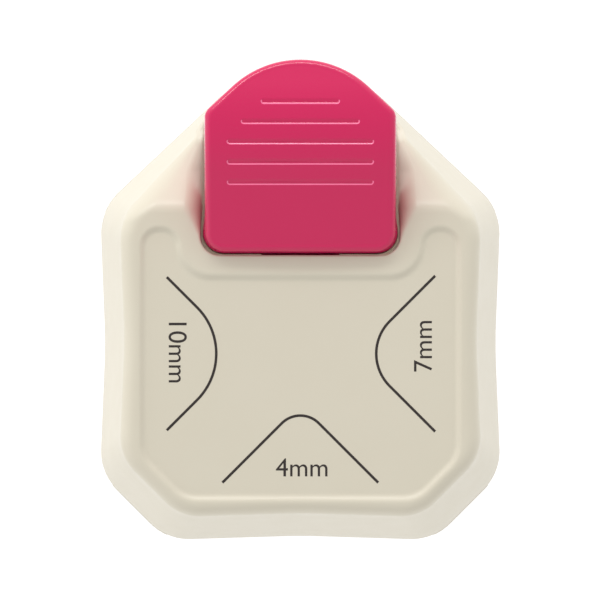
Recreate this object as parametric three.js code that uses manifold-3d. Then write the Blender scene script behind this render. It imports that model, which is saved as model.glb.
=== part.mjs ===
// Hand-squeezed three-radius corner rounder.
// Millimetres, +Z up, +Y towards the tip of the thumb lever, +X right, resting on z = 0.
// Paper corners go into three slots: left (10 mm radius), right (7 mm) and front (4 mm).
// Squeezing the lever turns it on a pin near the front edge. A pad under its beam drives
// the punch carrier straight down two posts, and two coil springs lift it again.
import * as THREE from 'three';
import { mergeVertices } from 'three/addons/utils/BufferGeometryUtils.js';
import Module from 'manifold-3d';

const wasm = await Module();
wasm.setup();

// ---------------------------------------------------------------- driving dimensions

// Outline of the casing where its two halves meet
const SIDE_X = 31.6;            // half width at the corners
const WAIST = 0.85;             // how far the sides are hollowed in
const WAIST_Y = -6.5;           // middle of the hollow
const REAR_CORNER_Y = 14.65;    // corner between a side and a rear diagonal
const REAR_APEX_Y = 44.35;      // where the rear diagonals would meet
const REAR_NOSE_R = 18.6;       // rounding of the rear nose
const REAR_CORNER_R = 9;
const FRONT_Y = -37.4;          // front edge at its corners
const FRONT_HOLLOW = 0.65;      // how far the front edge is hollowed in
const FRONT_CHAMFER = 10.6;     // front corners are cut off at 45 degrees by this much
const FRONT_CORNER_R = 8.5;
const HOLLOW_R = 90;            // rounding in the middle of a hollowed edge

// Heights
const PARTING_Z = 13.9;         // joint between base and upper housing
const RIM_Z = 35;               // raised rim round the top panel
const SHOULDER_DROP = 1.3;      // height of the rounded shoulder under the rim
const PANEL_DEPTH = 0.5;        // the panel lies this much under the rim
const HOUSING_DRAFT = 0.872;    // outline at the shoulder, as a share of the parting outline
const SHOULDER_DRAFT = 0.962;   // outline at the rim, as a share of the shoulder outline
const BASE_DRAFT = 0.966;       // outline at the floor, as a share of the parting outline

// Walls and fits
const HOUSING_WALL = 2;
const BASE_WALL = 2.2;
const BASE_LEDGE = 2;           // ledge inside the base wall that carries the die plate
const BASE_FLOOR = 2.7;
const RIB_HALF = 1;
const SEAT_GAP = 0.1;           // between stacked plates
const PARTING_GAP = 0.2;
const PLATE_CLEARANCE = 0.5;    // between a plate's edge and the wall round it
const HOLE_CLEARANCE = 0.2;     // radial, round pins, posts and screws
const SLIDING_CLEARANCE = 0.3;  // round parts that slide
const PUNCH_CLEARANCE = 0.15;   // between a punch and its opening

// Paper slots: the 45 degree stops meet at each V
const PAPER_GAP = 1.4;
const DIE_THICKNESS = 1.5;
const GUIDE_THICKNESS = 1.2;
const SLOT_AXIS_Y = -7.75;      // middle of the left and right slots
const LEFT_V_X = -8.7;
const RIGHT_V_X = 8.7;
const FRONT_V_Y = -15.55;
const LEFT_RADIUS = 10;
const RIGHT_RADIUS = 7;
const FRONT_RADIUS = 4;
const PUNCH_BEHIND_V = 1.5;     // punch runs past the V, so that the offcut falls free
const PUNCH_SHOULDER = 1;       // straight cutting edge beyond each end of the arc

// Punch set
const PUNCH_LIFT = 0.3;         // punch faces wait this far above the paper slot
const CARRIER_Z = 24.5;
const CARRIER_THICKNESS = 2.5;
const CARRIER_SLOT_HALF = 7;    // open middle of the carrier that the lever's beam passes
const CARRIER_HALF = 24.5;
const POST_X = 20.5;
const POST_R = 1.5;
const POST_TOP_Z = 31;
const SPRING_R = 2.7;           // middle of the wire
const SPRING_WIRE_R = 0.35;
const SPRING_TURNS = 5.5;
const PUNCH_SCREW_R = 0.8;

// Lever
const PIN_Y = -28;
const PIN_R = 1.5;
const PAD_Y = -10.5;
const PAD_R = 1.5;
const PAD_GAP = 0.3;            // between pad and carrier with the lever up
const PRESS_ANGLE = 12.4;       // degrees from lever up to lever down
const BEAM_HALF = 6;
const BEAM_TOP_Z = 32;
const BEAM_BOTTOM_Z = 28;
const BOSS_R = 2.8;
const LUG_WIDTH = 2.6;          // lugs that hold the pin on both sides of the beam
const CAP_HALF = 14.45;
const CAP_FRONT_Y = 7.85;
const CAP_SHOULDER_Y = 28.9;    // where the cap's sides turn into its pointed end
const CAP_APEX_Y = 42.1;
const CAP_NOSE_R = 15;
const CAP_WALL = 2;
const CAP_FRONT_Z = 36.8;
const CAP_CREST_Z = 43.6;
const CAP_CREST_Y = 27;
const CAP_CREST_R = 24;
const CAP_TIP_Z = 41;
const CAP_SKIRT_FRONT_Z = 29.5;
const CAP_SKIRT_TIP_Z = 35;

// Channel in the housing that the lever's cap sinks into
const CHANNEL_SIDE_GAP = 0.8;
const CHANNEL_FRONT_GAP = 0.52;
const CHANNEL_CORNER_R = 2.8;
const CHANNEL_FLOOR_Z = 18;
const PLATEAU_REAR_Y = 14.8;    // the flat top ends here and slopes down on both sides
const SLOPE_END_Y = 25;
const SLOPE_END_Z = 27;
const LEDGE_Y = 26.8;
const LEDGE_Z = 20.5;

// Top panel
const PANEL_HALF = 24.15;
const PANEL_FRONT_Y = -29.8;
const PANEL_CHAMFER = 6.3;
const PANEL_REAR_Y = 11.3;
const PANEL_R = 5;
const COLLAR = 3.4;             // raised collar left round the lever's channel

// Screws and bosses
const CASING_SCREW_R = 1.1;
const CASING_HEAD_R = 2.2;
const CASING_BOSS_R = 3;
const PLATE_SCREW_R = 0.9;
const PLATE_HEAD_R = 1.8;
const PLATE_BOSS_R = 2.6;
const SCREW_HEAD_HEIGHT = 1.4;
const HEAD_SEAT_Z = 4.2;        // casing screw heads sit in counterbores this deep
const CASING_SCREW_END_Z = 23;
const PLATE_SCREW_END_Z = 4.5;
const REAR_SCREW = [19, 15];
const REAR_PLATE_SCREW = [20.5, 8];
const FRONT_SCREW_RUN = 16.5;   // along the 45 degree pillar, from its inner end
const FRONT_PLATE_SCREW_RUN = 9;

// Chip cover that slides out forwards under the base
const COVER_HALF = 17.4;
const COVER_LIP = 1.6;
const COVER_REAR_Y = 12;
const COVER_THICKNESS = 1.4;
const COVER_RAIL_Z = 1;         // underside of the cover's edges
const COVER_GROUND_GAP = 0.3;

// ---------------------------------------------------------------- derived heights

const dieZ = PARTING_Z - PAPER_GAP - DIE_THICKNESS;
const dieTopZ = dieZ + DIE_THICKNESS;
const guideTopZ = PARTING_Z + GUIDE_THICKNESS;
const carrierTopZ = CARRIER_Z + CARRIER_THICKNESS;
const padZ = carrierTopZ + PAD_GAP + PAD_R;
const pinZ = padZ - (PAD_Y - PIN_Y) * Math.sin(THREE.MathUtils.degToRad(PRESS_ANGLE / 2));
const shoulderZ = RIM_Z - SHOULDER_DROP;
const ceilingZ = RIM_Z - PANEL_DEPTH - HOUSING_WALL;
const channelHalf = CAP_HALF + CHANNEL_SIDE_GAP;
const channelFrontY = CAP_FRONT_Y - CHANNEL_FRONT_GAP;
const pinHalf = BEAM_HALF + SLIDING_CLEARANCE + LUG_WIDTH;
const capSlant = Math.atan2(CAP_APEX_Y - CAP_SHOULDER_Y, CAP_HALF);
const capTipY = CAP_APEX_Y - CAP_NOSE_R * (1 / Math.cos(capSlant) - 1);
const FILLET_ROOM = 0.75;       // most of an edge that the rounding of one end may take
const FAR = 60;                 // beyond every surface, for cuts that run right out

// ---------------------------------------------------------------- geometry helpers

function solidFrom(geometry) {
  const bare = geometry.clone();
  bare.deleteAttribute('normal');
  bare.deleteAttribute('uv');
  const merged = mergeVertices(bare, 1e-5);
  const vertProperties = new Float32Array(merged.attributes.position.array);
  const triVerts = new Uint32Array(merged.index.array);
  return new wasm.Manifold(new wasm.Mesh({ numProp: 3, vertProperties, triVerts }));
}

function geometryFrom(solid) {
  const mesh = solid.getMesh();
  const geometry = new THREE.BufferGeometry();
  geometry.setAttribute('position', new THREE.BufferAttribute(mesh.vertProperties, 3));
  geometry.setIndex(new THREE.BufferAttribute(mesh.triVerts, 1));
  geometry.computeVertexNormals();
  return geometry;
}

// Corners are [x, y, radius], anticlockwise. Each edge moves inwards by distance.
function inset(corners, distance) {
  return corners.map(([x, y, r], i) => {
    const before = corners.at(i - 1);
    const after = corners[(i + 1) % corners.length];
    const into = new THREE.Vector2(x - before[0], y - before[1]).normalize();
    const out = new THREE.Vector2(after[0] - x, after[1] - y).normalize();
    const reach = distance / (1 + into.dot(out));
    const grown = into.cross(out) > 0 ? r - distance : r + distance;
    return [
      x - (into.y + out.y) * reach,
      y + (into.x + out.x) * reach,
      Math.max(grown, 0),
    ];
  });
}

function outlineShape(corners) {
  const shape = new THREE.Shape();
  corners.forEach(([x, y, r], i) => {
    const corner = new THREE.Vector2(x, y);
    const before = corners.at(i - 1);
    const after = corners[(i + 1) % corners.length];
    const into = new THREE.Vector2(x - before[0], y - before[1]);
    const out = new THREE.Vector2(after[0] - x, after[1] - y);
    const room = Math.min(into.length(), out.length()) * FILLET_ROOM;
    into.normalize();
    out.normalize();
    const turn = Math.atan2(into.cross(out), into.dot(out));
    const tangent = Math.min(r * Math.tan(Math.abs(turn) / 2), room);
    const radius = tangent / Math.tan(Math.abs(turn) / 2);
    const start = corner.clone().addScaledVector(into, -tangent);
    if (i === 0) shape.moveTo(start.x, start.y);
    else shape.lineTo(start.x, start.y);
    if (radius < 0.01) return;
    const side = Math.sign(turn);
    const centreX = start.x - into.y * radius * side;
    const centreY = start.y + into.x * radius * side;
    const from = Math.atan2(start.y - centreY, start.x - centreX);
    shape.absarc(centreX, centreY, radius, from, from + turn, turn < 0);
  });
  shape.closePath();
  return shape;
}

// Upright prism whose top outline is the bottom one times draft.
function prism(corners, z0, z1, draft = 1, curveSegments = 3) {
  const geometry = new THREE.ExtrudeGeometry(outlineShape(corners), {
    depth: z1 - z0,
    bevelEnabled: false,
    curveSegments,
  });
  const position = geometry.attributes.position;
  for (let i = 0; i < position.count; i += 1) {
    const share = position.getZ(i) / (z1 - z0);
    const scale = 1 + (draft - 1) * share;
    position.setXY(i, position.getX(i) * scale, position.getY(i) * scale);
  }
  return solidFrom(geometry.translate(0, 0, z0));
}

// Side profile of [y, z, radius] corners, carried across from -half to +half in X.
function acrossX(corners, half, curveSegments = 3) {
  const geometry = new THREE.ExtrudeGeometry(outlineShape(corners), {
    depth: 2 * half,
    bevelEnabled: false,
    curveSegments,
  });
  const turned = new THREE.Matrix4().makeBasis(
    new THREE.Vector3(0, 1, 0),
    new THREE.Vector3(0, 0, 1),
    new THREE.Vector3(1, 0, 0),
  );
  return solidFrom(geometry.applyMatrix4(turned).translate(-half, 0, 0));
}

function block(x0, x1, y0, y1, z0, z1) {
  const geometry = new THREE.BoxGeometry(x1 - x0, y1 - y0, z1 - z0);
  return solidFrom(geometry.translate((x0 + x1) / 2, (y0 + y1) / 2, (z0 + z1) / 2));
}

function rod(x, y, radius, z0, z1, sides = 16) {
  const geometry = new THREE.CylinderGeometry(radius, radius, z1 - z0, sides);
  return solidFrom(geometry.rotateX(Math.PI / 2).translate(x, y, (z0 + z1) / 2));
}

function crossRod(y, z, radius, half, sides = 16) {
  const geometry = new THREE.CylinderGeometry(radius, radius, 2 * half, sides);
  return solidFrom(geometry.rotateZ(Math.PI / 2).translate(0, y, z));
}

const mirrored = (points) => points.flatMap(([x, y]) => [[-x, y], [x, y]]);

// ---------------------------------------------------------------- shared outlines

function casingOutline() {
  const chamferY = FRONT_Y + FRONT_CHAMFER;
  const chamferX = SIDE_X - FRONT_CHAMFER;
  return [
    [0, REAR_APEX_Y, REAR_NOSE_R],
    [-SIDE_X, REAR_CORNER_Y, REAR_CORNER_R],
    [-SIDE_X + WAIST, WAIST_Y, HOLLOW_R],
    [-SIDE_X, chamferY, FRONT_CORNER_R],
    [-chamferX, FRONT_Y, FRONT_CORNER_R],
    [0, FRONT_Y + FRONT_HOLLOW, HOLLOW_R],
    [chamferX, FRONT_Y, FRONT_CORNER_R],
    [SIDE_X, chamferY, FRONT_CORNER_R],
    [SIDE_X - WAIST, WAIST_Y, HOLLOW_R],
    [SIDE_X, REAR_CORNER_Y, REAR_CORNER_R],
  ];
}

const outline = casingOutline();

// Each slot's V, with the direction that the paper's corner points in.
const cutters = [
  { name: 'punch_10mm', vertex: [LEFT_V_X, SLOT_AXIS_Y], radius: LEFT_RADIUS, heading: 0 },
  { name: 'punch_7mm', vertex: [RIGHT_V_X, SLOT_AXIS_Y], radius: RIGHT_RADIUS, heading: Math.PI },
  { name: 'punch_4mm', vertex: [0, FRONT_V_Y], radius: FRONT_RADIUS, heading: Math.PI / 2 },
];

// The pillars between the slots run out at 45 degrees from these inner ends.
const pillarX = RIGHT_V_X / 2;
const pillarY = (SLOT_AXIS_Y + FRONT_V_Y) / 2;
const onPillar = (run) => [pillarX + run, pillarY - run];
const casingScrewPlaces = mirrored([onPillar(FRONT_SCREW_RUN), REAR_SCREW]);
const plateScrewPlaces = mirrored([onPillar(FRONT_PLATE_SCREW_RUN), REAR_PLATE_SCREW]);

function placed(solid, { vertex, heading }) {
  return solid.rotate([0, 0, THREE.MathUtils.radToDeg(heading)]).translate([...vertex, 0]);
}

// A wedge of paper pushed right up to the stops, between two heights.
function paperWedge(cutter, z0, z1) {
  return placed(prism([[0, 0, 0], [-FAR, FAR, 0], [-FAR, -FAR, 0]], z0, z1), cutter);
}

// Section of a punch, in a frame with its V at the origin and the paper pointing along +X.
function punchSection(radius, clearance) {
  const centreX = -radius * Math.SQRT2;
  const edge = radius - clearance;
  const run = PUNCH_SHOULDER + clearance * (1 + Math.SQRT2);
  const backX = PUNCH_BEHIND_V + clearance;
  const lowX = centreX + (edge - run) * Math.SQRT1_2;
  const lowY = (edge + run) * Math.SQRT1_2;
  const shape = new THREE.Shape();
  shape.moveTo(lowX, -lowY);
  shape.lineTo(backX, -lowY);
  shape.lineTo(backX, lowY);
  shape.lineTo(lowX, lowY);
  shape.absarc(centreX, 0, edge, Math.PI / 4, -Math.PI / 4, true);
  shape.closePath();
  return shape;
}

function punchBlock(cutter, clearance, z0, z1) {
  const geometry = new THREE.ExtrudeGeometry(punchSection(cutter.radius, clearance), {
    depth: z1 - z0,
    bevelEnabled: false,
    curveSegments: 6,
  });
  return placed(solidFrom(geometry.translate(0, 0, z0)), cutter);
}

// Screws stand in the middle of each punch's solid part.
function punchScrewPlace({ vertex, radius, heading }) {
  const back = (radius - radius * Math.SQRT2 + PUNCH_BEHIND_V) / 2;
  return [vertex[0] + back * Math.cos(heading), vertex[1] + back * Math.sin(heading)];
}

// ---------------------------------------------------------------- base

function coverChannel() {
  const inner = COVER_HALF - COVER_LIP + SLIDING_CLEARANCE;
  const outer = COVER_HALF + SLIDING_CLEARANCE;
  const rearY = COVER_REAR_Y + SLIDING_CLEARANCE;
  return block(-inner, inner, -FAR, rearY, -1, BASE_FLOOR)
    .add(block(-outer, outer, -FAR, rearY, COVER_RAIL_Z, BASE_FLOOR + 0.01));
}

// Ribs along the front pillars tie their inner bosses to the floor and the wall.
function pillarRibs() {
  const length = (FRONT_SCREW_RUN - FRONT_PLATE_SCREW_RUN) * Math.SQRT2;
  const [x, y] = onPillar(FRONT_PLATE_SCREW_RUN);
  const right = block(0, length, -RIB_HALF, RIB_HALF, BASE_FLOOR, dieZ - SEAT_GAP)
    .rotate([0, 0, -45])
    .translate([x, y, 0]);
  return right.add(right.mirror([1, 0, 0]));
}

function baseShell() {
  const topZ = PARTING_Z - PARTING_GAP;
  let shell = prism(outline, 0, topZ, 1 / BASE_DRAFT).scale([BASE_DRAFT, BASE_DRAFT, 1]);
  shell = shell.subtract(prism(inset(outline, BASE_WALL + BASE_LEDGE), BASE_FLOOR, dieZ));
  shell = shell.subtract(prism(inset(outline, BASE_WALL), dieZ - SEAT_GAP, topZ + 1));
  for (const [x, y] of casingScrewPlaces) {
    shell = shell.add(rod(x, y, CASING_BOSS_R, 0.5, dieZ - SEAT_GAP));
  }
  for (const [x, y] of plateScrewPlaces) {
    shell = shell.add(rod(x, y, PLATE_BOSS_R, 0.5, dieZ - SEAT_GAP));
  }
  shell = shell.add(pillarRibs()).subtract(coverChannel());
  for (const [x, y] of casingScrewPlaces) {
    shell = shell.subtract(rod(x, y, CASING_SCREW_R + HOLE_CLEARANCE, -1, PARTING_Z));
    shell = shell.subtract(rod(x, y, CASING_HEAD_R + HOLE_CLEARANCE, -1, HEAD_SEAT_Z));
  }
  for (const [x, y] of plateScrewPlaces) {
    shell = shell.subtract(rod(x, y, PLATE_SCREW_R + HOLE_CLEARANCE, PLATE_SCREW_END_Z - 0.5, PARTING_Z));
  }
  for (const cutter of cutters) {
    shell = shell.subtract(paperWedge(cutter, dieTopZ, PARTING_Z));
  }
  return shell;
}

function chipCover() {
  const wide = COVER_HALF;
  const narrow = COVER_HALF - COVER_LIP;
  const edgeZ = COVER_RAIL_Z + SEAT_GAP;
  const topZ = edgeZ + COVER_THICKNESS;
  const frontY = FRONT_Y * BASE_DRAFT + FRONT_HOLLOW;
  let cover = block(-wide, wide, frontY, COVER_REAR_Y, edgeZ, topZ);
  cover = cover.add(block(-narrow, narrow, frontY, COVER_REAR_Y, COVER_GROUND_GAP, topZ));
  for (let rib = 0; rib < 4; rib += 1) {
    const y = frontY + 3 + rib * 2;
    cover = cover.subtract(block(-8, 8, y, y + 1, 0, COVER_GROUND_GAP + 0.4));
  }
  return cover;
}

// ---------------------------------------------------------------- plates

function plateBlank(z0, z1) {
  return prism(inset(outline, BASE_WALL + PLATE_CLEARANCE), z0, z1);
}

function drilled(plate, z0, z1) {
  let result = plate;
  for (const [x, y] of casingScrewPlaces) {
    result = result.subtract(rod(x, y, CASING_BOSS_R + PLATE_CLEARANCE, z0 - 1, z1 + 1));
  }
  for (const [x, y] of plateScrewPlaces) {
    result = result.subtract(rod(x, y, PLATE_SCREW_R + HOLE_CLEARANCE, z0 - 1, z1 + 1));
  }
  for (const cutter of cutters) {
    result = result.subtract(punchBlock(cutter, PUNCH_CLEARANCE, z0 - 1, z1 + 1));
  }
  return result;
}

function diePlate() {
  return drilled(plateBlank(dieZ, dieTopZ), dieZ, dieTopZ);
}

function spacerPlate() {
  const z0 = dieTopZ + SEAT_GAP;
  const z1 = PARTING_Z - SEAT_GAP;
  let plate = plateBlank(z0, z1);
  for (const cutter of cutters) {
    plate = plate.subtract(paperWedge(cutter, z0 - 1, z1 + 1));
  }
  return drilled(plate, z0, z1);
}

function guidePlate() {
  let plate = drilled(plateBlank(PARTING_Z, guideTopZ), PARTING_Z, guideTopZ);
  for (const x of [-POST_X, POST_X]) {
    plate = plate.subtract(rod(x, SLOT_AXIS_Y, POST_R + SEAT_GAP, PARTING_Z - 1, guideTopZ + 1));
  }
  return plate;
}

// ---------------------------------------------------------------- upper housing

// Everything above the two slopes behind the flat top, lowered by drop.
function aboveSlopes(drop) {
  return acrossX([
    [PLATEAU_REAR_Y - drop, RIM_Z - drop, 3],
    [SLOPE_END_Y - drop, SLOPE_END_Z - drop, 3],
    [LEDGE_Y - drop, LEDGE_Z + 2 - drop, 1.5],
    [LEDGE_Y + 0.6 - drop, LEDGE_Z - drop, 0.5],
    [FAR, LEDGE_Z - drop, 0],
    [FAR, FAR, 0],
    [PLATEAU_REAR_Y - drop, FAR, 0],
  ], FAR);
}

function housingOuter() {
  const shoulder = outline.map(([x, y, r]) => [x * HOUSING_DRAFT, y * HOUSING_DRAFT, r * HOUSING_DRAFT]);
  return prism(outline, PARTING_Z, shoulderZ, HOUSING_DRAFT)
    .add(prism(shoulder, shoulderZ, RIM_Z, SHOULDER_DRAFT))
    .subtract(aboveSlopes(0));
}

function housingCavity() {
  const wallHalf = channelHalf + HOUSING_WALL;
  const wallFrontY = channelFrontY - HOUSING_WALL;
  return prism(inset(outline, HOUSING_WALL), PARTING_Z, ceilingZ, HOUSING_DRAFT)
    .subtract(aboveSlopes(HOUSING_WALL))
    .subtract(block(-wallHalf, wallHalf, wallFrontY, FAR, CHANNEL_FLOOR_Z - HOUSING_WALL, FAR));
}

function leverChannel() {
  const r = CHANNEL_CORNER_R;
  const opening = prism([
    [-channelHalf, channelFrontY, r],
    [channelHalf, channelFrontY, r],
    [channelHalf, FAR, 0],
    [-channelHalf, FAR, 0],
  ], CHANNEL_FLOOR_Z, FAR);
  const passageY = channelFrontY - HOUSING_WALL - 1;
  const passage = block(-channelHalf, channelHalf, passageY, FAR, CHANNEL_FLOOR_Z, ceilingZ);
  return opening.add(passage);
}

function panelRecess() {
  const inner = channelHalf + COLLAR;
  const frontY = channelFrontY - COLLAR;
  const chamferX = PANEL_HALF - PANEL_CHAMFER;
  const lobe = (PANEL_HALF - inner) / 2 - 0.1;
  return prism([
    [-chamferX, PANEL_FRONT_Y, PANEL_R],
    [chamferX, PANEL_FRONT_Y, PANEL_R],
    [PANEL_HALF, PANEL_FRONT_Y + PANEL_CHAMFER, PANEL_R],
    [PANEL_HALF, PANEL_REAR_Y, lobe],
    [inner, PANEL_REAR_Y, lobe],
    [inner, frontY, PANEL_R],
    [-inner, frontY, PANEL_R],
    [-inner, PANEL_REAR_Y, lobe],
    [-PANEL_HALF, PANEL_REAR_Y, lobe],
    [-PANEL_HALF, PANEL_FRONT_Y + PANEL_CHAMFER, PANEL_R],
  ], RIM_Z - PANEL_DEPTH, FAR);
}

// Two lugs hang from the ceiling on either side of the lever's boss and hold its pin.
function pinLugs() {
  const inner = BEAM_HALF + SLIDING_CLEARANCE;
  const reach = BOSS_R + 0.2;
  let lugs = block(-inner - LUG_WIDTH, inner + LUG_WIDTH, PIN_Y - reach, PIN_Y + reach,
    pinZ - reach, ceilingZ + 1);
  lugs = lugs.subtract(block(-inner, inner, PIN_Y - FAR, PIN_Y + FAR, 0, ceilingZ));
  return lugs;
}

function upperHousing() {
  const outer = housingOuter();
  let shell = outer.subtract(housingCavity());
  const bossFootZ = PARTING_Z + SEAT_GAP;
  for (const [x, y] of casingScrewPlaces) {
    shell = shell.add(rod(x, y, CASING_BOSS_R, bossFootZ, ceilingZ + 1).intersect(outer));
  }
  shell = shell.add(pinLugs().intersect(outer));
  for (const [x, y] of casingScrewPlaces) {
    shell = shell.subtract(rod(x, y, CASING_SCREW_R + HOLE_CLEARANCE, 0, CASING_SCREW_END_Z + 1));
  }
  return shell
    .subtract(leverChannel())
    .subtract(panelRecess())
    .subtract(crossRod(PIN_Y, pinZ, PIN_R + HOLE_CLEARANCE, pinHalf + 1));
}

// ---------------------------------------------------------------- lever

function capOutline() {
  return [
    [-CAP_HALF, CAP_FRONT_Y, 2.9],
    [CAP_HALF, CAP_FRONT_Y, 2.9],
    [CAP_HALF, CAP_SHOULDER_Y, 1.8],
    [0, CAP_APEX_Y, CAP_NOSE_R],
    [-CAP_HALF, CAP_SHOULDER_Y, 1.8],
  ];
}

// Height at y on the straight line through two [y, z] points.
function lineZ([y0, z0], [y1, z1], y) {
  return z0 + (z1 - z0) * (y - y0) / (y1 - y0);
}

// Side view of the cap: top lowered by wall, skirt lowered by drop.
function capProfile(wall, drop) {
  const front = [CAP_FRONT_Y, CAP_FRONT_Z];
  const crest = [CAP_CREST_Y, CAP_CREST_Z];
  const tip = [capTipY, CAP_TIP_Z];
  const skirtFront = [CAP_FRONT_Y, CAP_SKIRT_FRONT_Z];
  const skirtTip = [capTipY, CAP_SKIRT_TIP_Z];
  const nearY = CAP_FRONT_Y - 5;
  const farY = capTipY + 5;
  return acrossX([
    [nearY, lineZ(skirtFront, skirtTip, nearY) - drop, 0],
    [farY, lineZ(skirtFront, skirtTip, farY) - drop, 0],
    [farY, lineZ(crest, tip, farY) - wall, 0],
    [CAP_CREST_Y, CAP_CREST_Z - wall, CAP_CREST_R],
    [nearY, lineZ(front, crest, nearY) - wall, 0],
  ], FAR, 4);
}

function leverCap() {
  const solid = prism(capOutline(), 0, FAR, 1, 5).intersect(capProfile(0, 0));
  const hollow = prism(inset(capOutline(), CAP_WALL), 0, FAR, 1, 5)
    .intersect(capProfile(CAP_WALL, FAR / 3));
  return solid.subtract(hollow);
}

// The beam runs forwards from the cap to the pin, with the rounded pad half way.
function leverBeam() {
  const beam = acrossX([
    [PIN_Y, pinZ + BOSS_R * 0.3, 0],
    [PAD_Y - 4, BEAM_BOTTOM_Z, 3],
    [CAP_FRONT_Y + 1, BEAM_BOTTOM_Z - 0.5, 1],
    [CAP_CREST_Y, CAP_CREST_Z - CAP_WALL - 4, 3],
    [CAP_CREST_Y, CAP_CREST_Z - CAP_WALL + 0.5, 0],
    [CAP_FRONT_Y + CAP_WALL, CAP_FRONT_Z - 1, 0],
    [CAP_FRONT_Y + 1, BEAM_TOP_Z, 0],
    [PIN_Y + 6, BEAM_TOP_Z, 4],
    [PIN_Y, pinZ + BOSS_R, 0],
  ], BEAM_HALF);
  return beam
    .add(crossRod(PIN_Y, pinZ, BOSS_R, BEAM_HALF, 20))
    .add(crossRod(PAD_Y, padZ, PAD_R, BEAM_HALF));
}

function lever() {
  return leverCap()
    .add(leverBeam())
    .subtract(crossRod(PIN_Y, pinZ, PIN_R + HOLE_CLEARANCE, FAR));
}

// ---------------------------------------------------------------- punch set

function punchCarrier() {
  const slot = CARRIER_SLOT_HALF;
  const rearY = SLOT_AXIS_Y + 8.8;
  const half = [
    [6, FRONT_V_Y - 5.5, 1.5],
    [18, FRONT_V_Y - 1, 1.5],
    [CARRIER_HALF, SLOT_AXIS_Y - 4, 1.5],
    [CARRIER_HALF, SLOT_AXIS_Y + 4, 1.5],
    [18, rearY, 1.5],
    [slot, rearY, 1.5],
    [slot, PAD_Y + 3, 1.5],
  ];
  const otherHalf = half.map(([x, y, r]) => [-x, y, r]).reverse();
  let carrier = prism([...half, ...otherHalf], CARRIER_Z, carrierTopZ);
  for (const x of [-POST_X, POST_X]) {
    carrier = carrier.subtract(
      rod(x, SLOT_AXIS_Y, POST_R + HOLE_CLEARANCE, CARRIER_Z - 1, carrierTopZ + 1));
  }
  for (const cutter of cutters) {
    const [x, y] = punchScrewPlace(cutter);
    carrier = carrier.subtract(
      rod(x, y, PUNCH_SCREW_R + HOLE_CLEARANCE, CARRIER_Z - 1, carrierTopZ + 1));
    carrier = carrier.subtract(
      rod(x, y, 2 * PUNCH_SCREW_R + HOLE_CLEARANCE, carrierTopZ - 1.2, carrierTopZ + 1));
  }
  return carrier;
}

function punch(cutter) {
  const [x, y] = punchScrewPlace(cutter);
  const topZ = CARRIER_Z - SEAT_GAP;
  return punchBlock(cutter, 0, PARTING_Z + PUNCH_LIFT, topZ)
    .subtract(rod(x, y, PUNCH_SCREW_R + SEAT_GAP, topZ - 4.5, topZ + 1, 12));
}

function returnSpring(x) {
  const bottomZ = guideTopZ + SEAT_GAP + SPRING_WIRE_R;
  const topZ = CARRIER_Z - SEAT_GAP - SPRING_WIRE_R;
  class Coil extends THREE.Curve {
    getPoint(t, target = new THREE.Vector3()) {
      const angle = 2 * Math.PI * SPRING_TURNS * t;
      return target.set(
        x + SPRING_R * Math.cos(angle),
        SLOT_AXIS_Y + SPRING_R * Math.sin(angle),
        bottomZ + (topZ - bottomZ) * t,
      );
    }
  }
  const section = new THREE.Shape().absarc(0, 0, SPRING_WIRE_R, 0, 2 * Math.PI);
  const geometry = new THREE.ExtrudeGeometry(section, {
    extrudePath: new Coil(),
    steps: Math.round(SPRING_TURNS * 12),
    curveSegments: 3,
  });
  return solidFrom(geometry);
}

// ---------------------------------------------------------------- fasteners

// Pan head screw turned about Z. A negative length points the tip upwards.
function screw(x, y, radius, headRadius, seatZ, length) {
  const up = Math.sign(length);
  const tipZ = seatZ - length;
  const profile = [
    new THREE.Vector2(0, tipZ),
    new THREE.Vector2(radius * 0.6, tipZ),
    new THREE.Vector2(radius, tipZ + up),
    new THREE.Vector2(radius, seatZ),
    new THREE.Vector2(headRadius, seatZ),
    new THREE.Vector2(headRadius, seatZ + up * SCREW_HEAD_HEIGHT * 0.6),
    new THREE.Vector2(headRadius * 0.6, seatZ + up * SCREW_HEAD_HEIGHT),
    new THREE.Vector2(0, seatZ + up * SCREW_HEAD_HEIGHT),
  ];
  if (up < 0) profile.reverse();
  const geometry = new THREE.LatheGeometry(profile, 16);
  return solidFrom(geometry.rotateX(Math.PI / 2).translate(x, y, 0));
}

// ---------------------------------------------------------------- assembly

const finishes = {
  cream: { color: 0xdcd5c2, roughness: 0.4, metalness: 0 },
  pink: { color: 0xcf3360, roughness: 0.35, metalness: 0 },
  steel: { color: 0x9a9ca0, roughness: 0.4, metalness: 1 },
  hardened: { color: 0x7f8388, roughness: 0.3, metalness: 1 },
  zinc: { color: 0xb9bcc0, roughness: 0.35, metalness: 1 },
};

const object = new THREE.Group();

function addPiece(name, solid, finish) {
  const mesh = new THREE.Mesh(geometryFrom(solid), new THREE.MeshStandardMaterial(finishes[finish]));
  mesh.name = name;
  object.add(mesh);
}

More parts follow.
